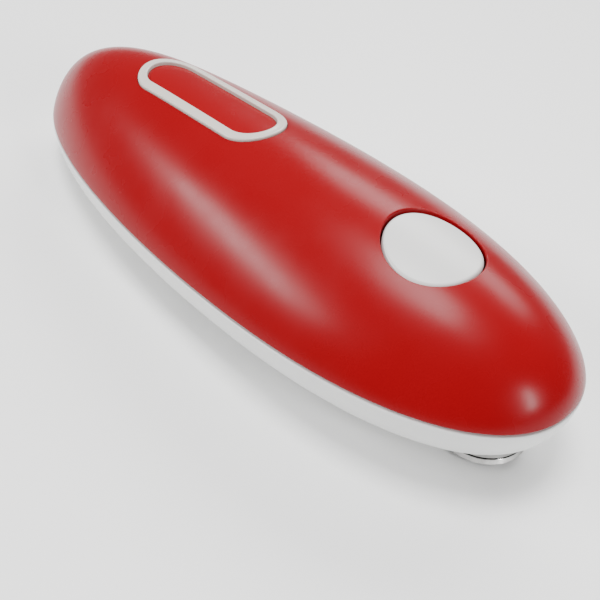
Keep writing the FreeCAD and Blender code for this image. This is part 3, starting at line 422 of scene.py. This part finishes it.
def metal(name, light, dark, rough, scratch=0.05, grain=900.0, stretch=(1, 1, 1)):
    """Worked metal: tone variation, fine marks in roughness and bump."""
    material, tree, bsdf = shader(name)
    bsdf.inputs["Metallic"].default_value = 1.0
    tone = spread(tree, noise(tree, 130, 3, 0.5, stretch), 0, 1)
    tree.links.new(tint(tree, tone, light, dark), bsdf.inputs["Base Color"])
    marks = noise(tree, grain, 4, 0.6, stretch)
    tree.links.new(spread(tree, marks, rough * 0.75, rough * 1.35), bsdf.inputs["Roughness"])
    tree.links.new(bump(tree, marks, scratch, 0.00008), bsdf.inputs["Normal"])
    return material


RED = moulded("red_shell", (0.235, 0.0004, 0.0040), (0.226, 0.0004, 0.0036), 0.27, specular=0.15)
INLAY_RED = moulded("inlay_red", (0.250, 0.0008, 0.0046), (0.240, 0.0008, 0.0042), 0.25, specular=0.18)
WHITE = moulded("white_shell", (0.76, 0.765, 0.75), (0.74, 0.745, 0.735), 0.36)
RING_GREY = moulded("ring_grey", (0.60, 0.555, 0.505), (0.585, 0.54, 0.49), 0.30)
BUTTON_GREY = moulded("button_grey", (0.68, 0.675, 0.66), (0.665, 0.66, 0.645), 0.38)
BLACK = moulded("black_plastic", (0.018, 0.018, 0.019), (0.024, 0.024, 0.025), 0.42)
NYLON = moulded("filled_nylon", (0.075, 0.078, 0.082), (0.055, 0.057, 0.060), 0.5, 0.03)
ACETAL = moulded("acetal", (0.78, 0.76, 0.69), (0.74, 0.72, 0.65), 0.38)
# Polished steel for the hub and cutter: its base colour swings from light to dark in broad streaks along
# the turning axis, which are painted reflection bands; the fine grain in roughness and bump is real working
# marks.
CHROME_PAINTED_REFLECTIONS = metal("polished_steel_painted_reflections", (0.78, 0.775, 0.76), (0.24, 0.235, 0.23), 0.12, 0.02, 700, (1, 1, 0.02))
HARD = metal("hardened_steel", (0.40, 0.395, 0.39), (0.30, 0.295, 0.29), 0.27, 0.12)
ZINC = metal("zinc_plate", (0.64, 0.64, 0.62), (0.52, 0.52, 0.50), 0.27, 0.10)
SINTER = metal("sintered_steel", (0.36, 0.355, 0.35), (0.26, 0.255, 0.25), 0.42, 0.35, 2600)
BRASS = metal("turned_brass", (0.80, 0.58, 0.24), (0.70, 0.49, 0.19), 0.22, 0.06)
FERRITE = metal("ferrite", (0.10, 0.10, 0.105), (0.06, 0.06, 0.065), 0.45, 0.4, 2200)
LAMINATION = metal("lamination", (0.36, 0.33, 0.31), (0.24, 0.22, 0.21), 0.38, 0.4, 60, (1, 1, 60))
MASK = moulded("solder_mask", (0.012, 0.11, 0.045), (0.010, 0.085, 0.035), 0.22)
CELL = moulded("cell_wrap", (0.030, 0.032, 0.036), (0.022, 0.024, 0.028), 0.24)
RED_LEAD = moulded("red_lead", (0.42, 0.012, 0.012), (0.34, 0.010, 0.010), 0.45)
BLACK_LEAD = moulded("black_lead", (0.014, 0.014, 0.014), (0.022, 0.022, 0.022), 0.45)

# ---- upper shell ----------------------------------------------------------------------------

RIM_ROLL = 0.7


def upper_shell():
    skin = Skin()
    shares = [1.0 - 0.26 * (k / 26) ** 1.6 for k in range(27)]
    outer = dome_rings(skin, 0.0, RIM_ROLL, shares)
    seat_top = lambda x, y: back(x, y)
    seat_path = track(RING_HALF_LENGTH, RING_HALF_WIDTH)
    seat = rolled(skin, seat_path, seat_top, back_normal, 0.22, 4, -1)
    hole_path = circle(BUTTON_X, BUTTON_HOLE)
    hole = rolled(skin, hole_path, seat_top, back_normal, 0.35, 5, -1)
    fill(skin, outer[-1], [seat[0], hole[0]], 1.7, on_back)
    # ring seat: wall and floor
    seat_floor = lambda x, y: back(x, y) - RING_SEAT
    foot = wall_loop(skin, seat_path, seat_floor, -1)
    skin.strip(seat[-1], foot)
    floor_rim = skin.loop([((s.x, s.y, seat_floor(s.x, s.y)), back_normal(s.x, s.y)) for s, _ in seat_path])
    fill(skin, floor_rim, [], 2.4, lambda x, y: ((x, y, seat_floor(x, y)), back_normal(x, y)))
    skin.strip(foot, floor_rim)
    # rim: rolled edge, seat for the lip, inner dome
    rims = outline(0.0, AROUND)
    previous = outer[0]
    base = [skin.points[i].copy() for i in previous]
    for step in range(1, 7):
        angle = math.pi / 2 * step / 6
        ring = []
        for (spot, out), start in zip(rims, base):
            reach = RIM_ROLL * (1 - math.cos(angle))
            probe = Vector((start.x, start.y)) - out * reach
            normal = Vector((out.x * math.cos(angle), out.y * math.cos(angle), -math.sin(angle)))
            ring.append(skin.point((probe.x, probe.y, start.z - RIM_ROLL * math.sin(angle)), normal))
        skin.strip(previous, ring)
        previous = ring
    ledge = skin.loop([((s - o * 1.2).to_3d() + Vector((0, 0, PARTING_Z)), (0, 0, -1)) for s, o in rims])
    skin.strip(previous, ledge)
    inner = dome_rings(skin, WALL, LIP_RISE, [1.0, 0.97, 0.92, 0.85, 0.78], -1)
    skin.strip(ledge, inner[0])
    under = lambda x, y: back(x, y, WALL)
    hole_foot = wall_loop(skin, hole_path, under, -1)
    skin.strip(hole[-1], hole_foot)
    hole_rim = skin.loop([((s.x, s.y, under(s.x, s.y)), -back_normal(s.x, s.y, WALL))
                          for s, _ in hole_path])
    skin.strip(hole_foot, hole_rim)
    fill(skin, inner[-1], [hole_rim], 4.0,
         lambda x, y: ((x, y, under(x, y)), -back_normal(x, y, WALL)))
    piece = skin.build("upper_shell_skin", RED, "casing")
    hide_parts("upper_shell")


upper_shell()


# ---- lower shell ----------------------------------------------------------------------------

SCREWS_AT = [(-77.0, 0.0), (-1.0, 24.0), (-1.0, -24.0), (68.0, 18.6), (68.0, -18.6)]
DOOR_TAIL = -66.0
DOOR_NOSE = -4.0
DOOR_HALF = 15.75


def rectangle(tail, nose, half, radius, step=2.0):
    """A rounded rectangle's points and outward directions, anticlockwise."""
    corners = [(nose, -half, -math.pi / 2), (nose, half, 0.0), (tail, half, math.pi / 2),
               (tail, -half, math.pi)]
    points = []
    for i, (x, y, start) in enumerate(corners):
        centre = Vector((x - math.copysign(radius, x - (tail + nose) / 2),
                         y - math.copysign(radius, y)))
        for k in range(7):
            angle = start + math.pi / 2 * k / 6
            out = Vector((math.cos(angle), math.sin(angle)))
            points.append((centre + out * radius, out))
        after = corners[(i + 1) % 4]
        target = Vector((after[0] - math.copysign(radius, after[0] - (tail + nose) / 2),
                         after[1] - math.copysign(radius, after[1])))
        out = Vector((math.cos(start + math.pi / 2), math.sin(start + math.pi / 2)))
        run = target - centre
        pieces = int(run.length / step)
        points += [(centre + run * k / pieces + out * radius, out) for k in range(1, pieces)]
    return points


def belly(x, y, base=0.0):
    """Height and outward normal of the belly, shrunk by a base inset, over a plan point."""
    low, high = base, base + BELLY_INSET
    depth = BELLY_DEPTH - base
    if abs(x) < HALF_LENGTH - high and abs(y) <= plan_width(x, high):
        return PARTING_Z - depth, Vector((0.0, 0.0, -1.0))
    for _ in range(30):
        middle = (low + high) / 2
        if abs(x) < HALF_LENGTH - middle and abs(y) < plan_width(x, middle):
            low = middle
        else:
            high = middle
    turned = math.acos(max(-1.0, min(1.0, 1 - (low - base) / BELLY_INSET)))
    step = 0.01
    slope = (plan_width(x + step, low) - plan_width(x - step, low)) / (2 * step)
    out = Vector((-slope, math.copysign(1.0, y))).normalized()
    sideways = depth * math.cos(turned)
    normal = Vector((out.x * sideways, out.y * sideways, -BELLY_INSET * math.sin(turned)))
    return PARTING_Z - depth * math.sin(turned), normal.normalized()


def on_belly(x, y):
    height, normal = belly(x, y)
    return (x, y, height), normal


def in_belly(x, y):
    height, normal = belly(x, y, WALL)
    return (x, y, height), -normal


def lower_shell():
    skin = Skin()
    top = PARTING_Z - GROOVE
    depth = BELLY_DEPTH
    roll = 0.45
    level = [(roll * (1 - math.sin(a)), top - roll * (1 - math.cos(a)), math.sin(a), math.cos(a))
             for a in (math.pi / 2 * k / 5 for k in range(6))]
    start = math.asin((GROOVE + roll) / depth)
    for k in range(1, 17):
        a = start + (math.radians(58) - start) * k / 16
        level.append((BELLY_INSET * (1 - math.cos(a)), PARTING_Z - depth * math.sin(a),
                      depth * math.cos(a), -BELLY_INSET * math.sin(a)))
    rings = []
    for inset, z, sideways, upward in level:
        ring = [skin.point((s.x, s.y, z), (o.x * sideways, o.y * sideways, upward))
                for s, o in outline(inset, AROUND)]
        if rings:
            skin.strip(rings[-1], ring)
        rings.append(ring)
    # lip that locates the upper shell
    shelf = skin.loop([((s.x, s.y, top), (0, 0, 1)) for s, _ in outline(LIP_OUTER, AROUND)])
    skin.strip(rings[0], shelf)
    lip_foot = skin.loop([((s.x, s.y, top), (o.x, o.y, 0)) for s, o in outline(LIP_OUTER, AROUND)])
    lip_top = skin.loop([((s.x, s.y, PARTING_Z + LIP_RISE), (o.x, o.y, 0.6))
                         for s, o in outline(LIP_OUTER, AROUND)])
    skin.strip(shelf, lip_foot)
    skin.strip(lip_foot, lip_top)
    lip_in = skin.loop([((s.x, s.y, PARTING_Z + LIP_RISE), (-o.x, -o.y, 0.6))
                        for s, o in outline(WALL, AROUND)])
    skin.strip(lip_top, lip_in)
    # inside of the belly
    inner = [lip_in]
    deep = depth - WALL
    for k in range(9):
        a = math.radians(50) * k / 8
        inset = WALL + BELLY_INSET * (1 - math.cos(a))
        level = PARTING_Z - deep * math.sin(a)
        slope = deep * math.cos(a)
        rise = BELLY_INSET * math.sin(a) + 0.01
        ring = skin.loop([((s.x, s.y, level), (-o.x * slope, -o.y * slope, rise))
                          for s, o in outline(inset, AROUND)])
        skin.strip(inner[-1], ring)
        inner.append(ring)
    # flat underside and floor with their openings
    openings = [(rectangle(DOOR_TAIL, DOOR_NOSE, DOOR_HALF, 1.0), 0.3),
                (circle(DRIVE_X, 4.0, 48), 0.15), (circle(SWING_X, 4.8, 48), 0.15)]
    openings += [(circle(x, 3.0, 48, y), 0.25) for x, y in SCREWS_AT]
    outside = []
    within = []
    for path, edge in openings:
        loops = []
        for k in range(5):
            a = math.pi / 2 * k / 4
            ring = []
            for s, o in path:
                probe = s + o * (edge * (1 - math.sin(a)))
                height, normal = belly(s.x + o.x * edge, s.y + o.y * edge)
                mix = normal * math.cos(a) - Vector((o.x, o.y, 0)) * math.sin(a)
                ring.append(skin.point((probe.x, probe.y, height + edge * (1 - math.cos(a))), mix))
            if loops:
                skin.strip(loops[-1], ring)
            loops.append(ring)
        outside.append(loops[0])
        high = skin.loop([(in_belly(s.x, s.y)[0], (-o.x, -o.y, 0)) for s, o in path])
        skin.strip(loops[-1], high)
        rim = skin.loop([in_belly(s.x, s.y) for s, o in path])
        skin.strip(high, rim)
        within.append(rim)
    fill(skin, rings[-1], outside, 1.8, on_belly)
    fill(skin, inner[-1], within, 5.0, in_belly)
    piece = skin.build("lower_shell_skin", WHITE, "casing")
    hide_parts("lower_shell")


lower_shell()


# ---- ring, inlay and button -----------------------------------------------------------------


def ring_trim():
    """A racetrack band with rolled edges and a faintly dished top."""
    skin = Skin()
    edge = 0.42
    deep = RING_SEAT - 0.05
    gap = 0.14
    profile = []
    for k in range(6):
        a = math.pi / 2 * k / 5
        profile.append((gap + edge * (1 - math.cos(a)), RING_PROUD - edge * (1 - math.sin(a)),
                        math.cos(a), math.sin(a)))
    flat = RING_BAND - 2 * edge - gap
    for k in range(1, 6):
        across = k / 6
        dish = -0.10 * math.sin(math.pi * across)
        slope = 0.10 * math.pi / flat * math.cos(math.pi * across)
        profile.append((gap + edge + flat * across, RING_PROUD + dish, -slope, 1.0))
    for k in range(6):
        a = math.pi / 2 * (1 - k / 5)
        profile.append((RING_BAND - edge * (1 - math.cos(a)), RING_PROUD - edge * (1 - math.sin(a)),
                        -math.cos(a), math.sin(a)))
    profile = [(gap, -deep, 0.0, -1.0), (gap, -deep, 1.0, 0.0)] + profile
    profile += [(RING_BAND, -deep, -1.0, 0.0), (RING_BAND, -deep, 0.0, -1.0)]
    loops = []
    for inset, rise, sideways, upward in profile:
        ring = []
        for s, o in track(RING_HALF_LENGTH - inset, RING_HALF_WIDTH - inset):
            up = back_normal(s.x, s.y)
            normal = Vector((o.x, o.y, 0)) * sideways + up * upward
            ring.append(skin.point((s.x, s.y, back(s.x, s.y) + rise), normal))
        if loops:
            skin.strip(loops[-1], ring)
        loops.append(ring)
    skin.strip(loops[-1], loops[0])
    piece = skin.build("ring_band", RING_GREY, "casing")
    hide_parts("ring_trim")


def inlay_panel():
    skin = Skin()
    path = track(RING_HALF_LENGTH - RING_BAND - 0.06, RING_HALF_WIDTH - RING_BAND - 0.06)
    top = lambda x, y: back(x, y) - INLAY_SUNK
    low = lambda x, y: back(x, y) - RING_SEAT + 0.03
    rim = rolled(skin, path, top, back_normal, 0.3, 4, 1)
    fill(skin, rim[0], [], 1.5, lambda x, y: ((x, y, top(x, y)), back_normal(x, y)))
    foot = wall_loop(skin, path, low, 1)
    skin.strip(rim[-1], foot)
    under = skin.loop([((s.x, s.y, low(s.x, s.y)), -back_normal(s.x, s.y)) for s, _ in path])
    skin.strip(foot, under)
    fill(skin, under, [], 3.0, lambda x, y: ((x, y, low(x, y)), -back_normal(x, y)))
    piece = skin.build("inlay_skin", INLAY_RED, "casing")
    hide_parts("inlay_panel")


def power_button():
    """A cap that follows the back, with a rolled edge, a skirt and its stem."""
    skin = Skin()
    path = circle(BUTTON_X, BUTTON_RADIUS)
    top = lambda x, y: back(x, y, BUTTON_SUNK)
    low = lambda x, y: back(x, y, BUTTON_SUNK + BUTTON_THICK)
    slant = lambda x, y: back_normal(x, y, BUTTON_SUNK)
    rim = rolled(skin, path, top, slant, 0.95, 8, 1)
    inner = rim[0]
    for radius in (10.7, 10.2, 9.2, 8.0, 6.6, 5.2, 3.8, 2.4, 1.2):
        ring = skin.loop([((s.x, s.y, top(s.x, s.y)), slant(s.x, s.y))
                          for s, _ in circle(BUTTON_X, radius)])
        skin.strip(ring, inner)
        inner = ring
    skin.fan(inner, skin.point((BUTTON_X, 0, top(BUTTON_X, 0)), slant(BUTTON_X, 0)))
    foot = wall_loop(skin, path, lambda x, y: low(x, y) - SKIRT_DROP, 1)
    skin.strip(rim[-1], foot)
    inside_wall = [(s - o * 1.2, o) for s, o in path]
    foot_under = skin.loop([((s.x, s.y, low(s.x, s.y) - SKIRT_DROP), (0, 0, -1)) for s, _ in path])
    edge_under = skin.loop([((s.x, s.y, low(s.x, s.y) - SKIRT_DROP), (0, 0, -1))
                            for s, _ in inside_wall])
    skin.strip(foot, foot_under)
    skin.strip(foot_under, edge_under)
    edge = wall_loop(skin, inside_wall, lambda x, y: low(x, y) - SKIRT_DROP, -1)
    skin.strip(edge_under, edge)
    roof = wall_loop(skin, inside_wall, low, -1)
    skin.strip(edge, roof)
    under = skin.loop([((s.x, s.y, low(s.x, s.y)), (0, 0, -1)) for s, _ in inside_wall])
    skin.strip(roof, under)
    stem_path = circle(BUTTON_X, STEM_RADIUS)
    stem_top = skin.loop([((s.x, s.y, low(s.x, s.y)), (0, 0, -1)) for s, _ in stem_path])
    skin.strip(under, stem_top)
    stem_wall = wall_loop(skin, stem_path, low, 1)
    skin.strip(stem_top, stem_wall)
    stem_low = wall_loop(skin, stem_path, lambda x, y: STEM_FOOT, 1)
    skin.strip(stem_wall, stem_low)
    stem_end = skin.loop([((s.x, s.y, STEM_FOOT), (0, 0, -1)) for s, _ in stem_path])
    skin.strip(stem_low, stem_end)
    skin.fan(stem_end, skin.point((BUTTON_X, 0, STEM_FOOT), (0, 0, -1)))
    piece = skin.build("button_cap", BUTTON_GREY, "button")
    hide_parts("power_button")


ring_trim()
inlay_panel()
power_button()


# ---- turned pieces --------------------------------------------------------------------------


def eased(profile, radius):
    """Rounds a lathe profile's corners.  Returns (r, z, normal r, normal z) stations."""
    stations = []
    count = len(profile)
    for i, (r, z) in enumerate(profile):
        here = Vector((r, z))
        if r < 1e-6:
            neighbour = Vector(profile[i + 1] if i == 0 else profile[i - 1])
            run = (neighbour - here) if i == 0 else (here - neighbour)
            stations.append((0.0, z, run.y, -run.x))
            continue
        before = Vector(profile[i - 1]) if i else Vector(profile[-1])
        after = Vector(profile[(i + 1) % count])
        coming = (here - before).normalized()
        going = (after - here).normalized()
        room = min(radius, 0.45 * (here - before).length, 0.45 * (after - here).length)
        for k in range(4):
            share = k / 3
            spot = (here - coming * room) * (1 - share) ** 2 + here * 2 * share * (1 - share)
            spot += (here + going * room) * share ** 2
            way = coming.lerp(going, share)
            stations.append((spot.x, spot.y, way.y, -way.x))
    return stations


def lathe(name, nodes, material, bodyname, centre, profile, ease=0.15, around=112):
    """A turned solid.  The profile runs so that its outside is on the right hand."""
    skin = Skin()
    loops = []
    for r, z, nr, nz in eased(profile, ease):
        if r < 1e-6:
            loops.append([skin.point((centre[0], centre[1], z), (0, 0, nz))])
            continue
        loops.append([skin.point((centre[0] + r * math.cos(a), centre[1] + r * math.sin(a), z),
                                 (nr * math.cos(a), nr * math.sin(a), nz))
                      for a in (math.tau * i / around for i in range(around))])
    closed = profile[0][0] > 1e-6
    pairs = list(zip(loops, loops[1:] + ([loops[0]] if closed else [])))
    for low, high in pairs:
        if len(low) == 1:
            skin.fan(high, low[0])
        elif len(high) == 1:
            skin.fan(low, high[0])
        else:
            skin.strip(low, high)
    piece = skin.build(name, material, bodyname)
    if nodes:
        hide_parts(*nodes)
    return piece


HUB = (SWING_X + HUB_THROW, 0.0)
lathe("carrier_hub_turned", ["cutter_carrier"], CHROME_PAINTED_REFLECTIONS, "carrier", HUB,
      [(0, 2.8), (10.6, 2.8), (10.9, 3.3), (10.9, 7.9), (0, 7.9)], 0.12, 160)
lathe("cutter_wheel_turned", ["cutter_wheel"], CHROME_PAINTED_REFLECTIONS, "cutter", HUB,
      [(2.56, 1.5), (4.25, 1.5), (4.25, 0.5), (7.6, 0.5), (7.6, 0.0), (9.8, 0.0), (11.3, 1.4),
       (10.8, 2.6), (2.56, 2.6)], 0.1, 160)
lathe("magnet_disc", ["lid_magnet"], FERRITE, "casing", (MAGNET_X, 0.0),
      [(0, 3.2), (7.5, 3.2), (7.5, 6.2), (0, 6.2)], 0.3)
lathe("magnet_cup", ["magnet_holder"], WHITE, "casing", (MAGNET_X, 0.0),
      [(0, 6.2), (7.6, 6.2), (7.6, 3.6), (9.5, 3.6), (9.5, 8.1), (0, 8.1)], 0.4)

# ---- materials of the CAD nodes that stay ---------------------------------------------------

FINISH = {
    "battery_door": WHITE, "battery_tray": BLACK, "battery_cells": CELL,
    "battery_springs": ZINC, "battery_contacts": ZINC, "lower_gear_plate": NYLON,
    "upper_gear_plate": NYLON, "cluster_gear_1": ACETAL, "cluster_gear_2": ACETAL,
    "drive_gear": SINTER, "swing_gear": SINTER, "motor_pinion": BRASS, "spindle_bush": BRASS,
    "carrier_bush": BRASS, "drive_wheel": HARD, "drive_spindle": HARD, "head_plate": ZINC,
    "motor_magnets": FERRITE, "motor_can": ZINC, "motor_end_cap": BLACK, "motor_terminals": BRASS,
    "motor_rotor": LAMINATION, "motor_bracket": BLACK, "circuit_board": MASK,
    "board_components": BLACK, "switch_body": BLACK, "switch_plunger": RING_GREY,
    "motor_leads": RED_LEAD, "battery_leads": BLACK_LEAD, "casing_screws": ZINC,
    "gear_pins": ZINC, "gearbox_screws": ZINC, "head_plate_screws": ZINC, "board_screws": ZINC,
    "button_spring": ZINC, "spindle_clip": ZINC, "carrier_clip": ZINC, "wave_washer": ZINC,
    "drive_wheel_screw": ZINC, "cutter_screw": ZINC,
}
for name, material in FINISH.items():
    mesh = frame["nodes"][name].data
    mesh.materials.clear()
    mesh.materials.append(material)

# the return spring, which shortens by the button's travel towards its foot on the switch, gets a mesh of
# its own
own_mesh(frame["nodes"]["button_spring"])

# ---- floor, light and camera ----------------------------------------------------------------


def floor():
    material, tree, bsdf = shader("studio_floor")
    tone = spread(tree, noise(tree, 3, 3), 0, 1)
    tree.links.new(tint(tree, tone, (0.93, 0.93, 0.925), (0.92, 0.92, 0.915)), bsdf.inputs["Base Color"])
    bsdf.inputs["Roughness"].default_value = 0.35
    bsdf.inputs["Specular IOR Level"].default_value = 0.2
    mesh = bpy.data.meshes.new("floor")
    reach = 4.0
    mesh.from_pydata([(-reach, -reach, 0), (reach, -reach, 0), (reach, reach, 0), (-reach, reach, 0)],
                     [], [(0, 1, 2, 3)])
    mesh.materials.append(material)
    plane = bpy.data.objects.new("floor", mesh)
    bpy.context.scene.collection.objects.link(plane)


def softbox(name, spot, aim, size, power, tone=(1.0, 1.0, 1.0)):
    data = bpy.data.lights.new(name, "AREA")
    data.shape = "RECTANGLE"
    data.size, data.size_y = size
    data.energy = power
    data.color = tone
    lamp = bpy.data.objects.new(name, data)
    lamp.location = spot
    lamp.rotation_euler = (Vector(aim) - Vector(spot)).to_track_quat("-Z", "Y").to_euler()
    bpy.context.scene.collection.objects.link(lamp)


def studio():
    world = bpy.data.worlds.new("studio")
    world.use_nodes = True
    world.node_tree.nodes["Background"].inputs["Color"].default_value = (1.0, 1.0, 1.0, 1)
    world.node_tree.nodes["Background"].inputs["Strength"].default_value = 0.25
    bpy.context.scene.world = world
    softbox("near_shoulder", (-0.62, -0.70, 0.62), (0, 0, 0.02), (0.62, 0.10), 11.0)
    softbox("far_top", (-0.30, 0.95, 0.80), (0, 0, 0.02), (1.0, 0.40), 15.0)
    softbox("nose_strip", (0.85, -0.05, 0.42), (0.08, 0, 0.02), (0.08, 0.34), 4.5)
    softbox("overhead", (-0.15, -0.05, 1.5), (0, 0, 0), (0.55, 0.55), 26.0)


def camera():
    """The viewing angle: azimuth from -Y towards +X, elevation, roll, all in degrees."""
    azimuth, elevation, roll = (math.radians(v) for v in (41.31, 42.71, 7.575))
    eye = Vector((133.38, -136.3, 164.64)) * MM
    behind = Vector((math.sin(azimuth) * math.cos(elevation),
                     -math.cos(azimuth) * math.cos(elevation), math.sin(elevation)))
    level = Vector((math.cos(azimuth), math.sin(azimuth), 0.0))
    upright = behind.cross(level)
    right = level * math.cos(roll) + upright * math.sin(roll)
    up = behind.cross(right)
    data = bpy.data.cameras.new("camera")
    data.lens = 52.56
    data.sensor_width = 36.0
    data.clip_start = 0.01
    eye_object = bpy.data.objects.new("camera", data)
    matrix = Matrix((right, up, behind)).transposed().to_4x4()
    matrix.translation = eye
    eye_object.matrix_world = matrix
    bpy.context.scene.collection.objects.link(eye_object)
    bpy.context.scene.camera = eye_object


floor()
studio()
camera()
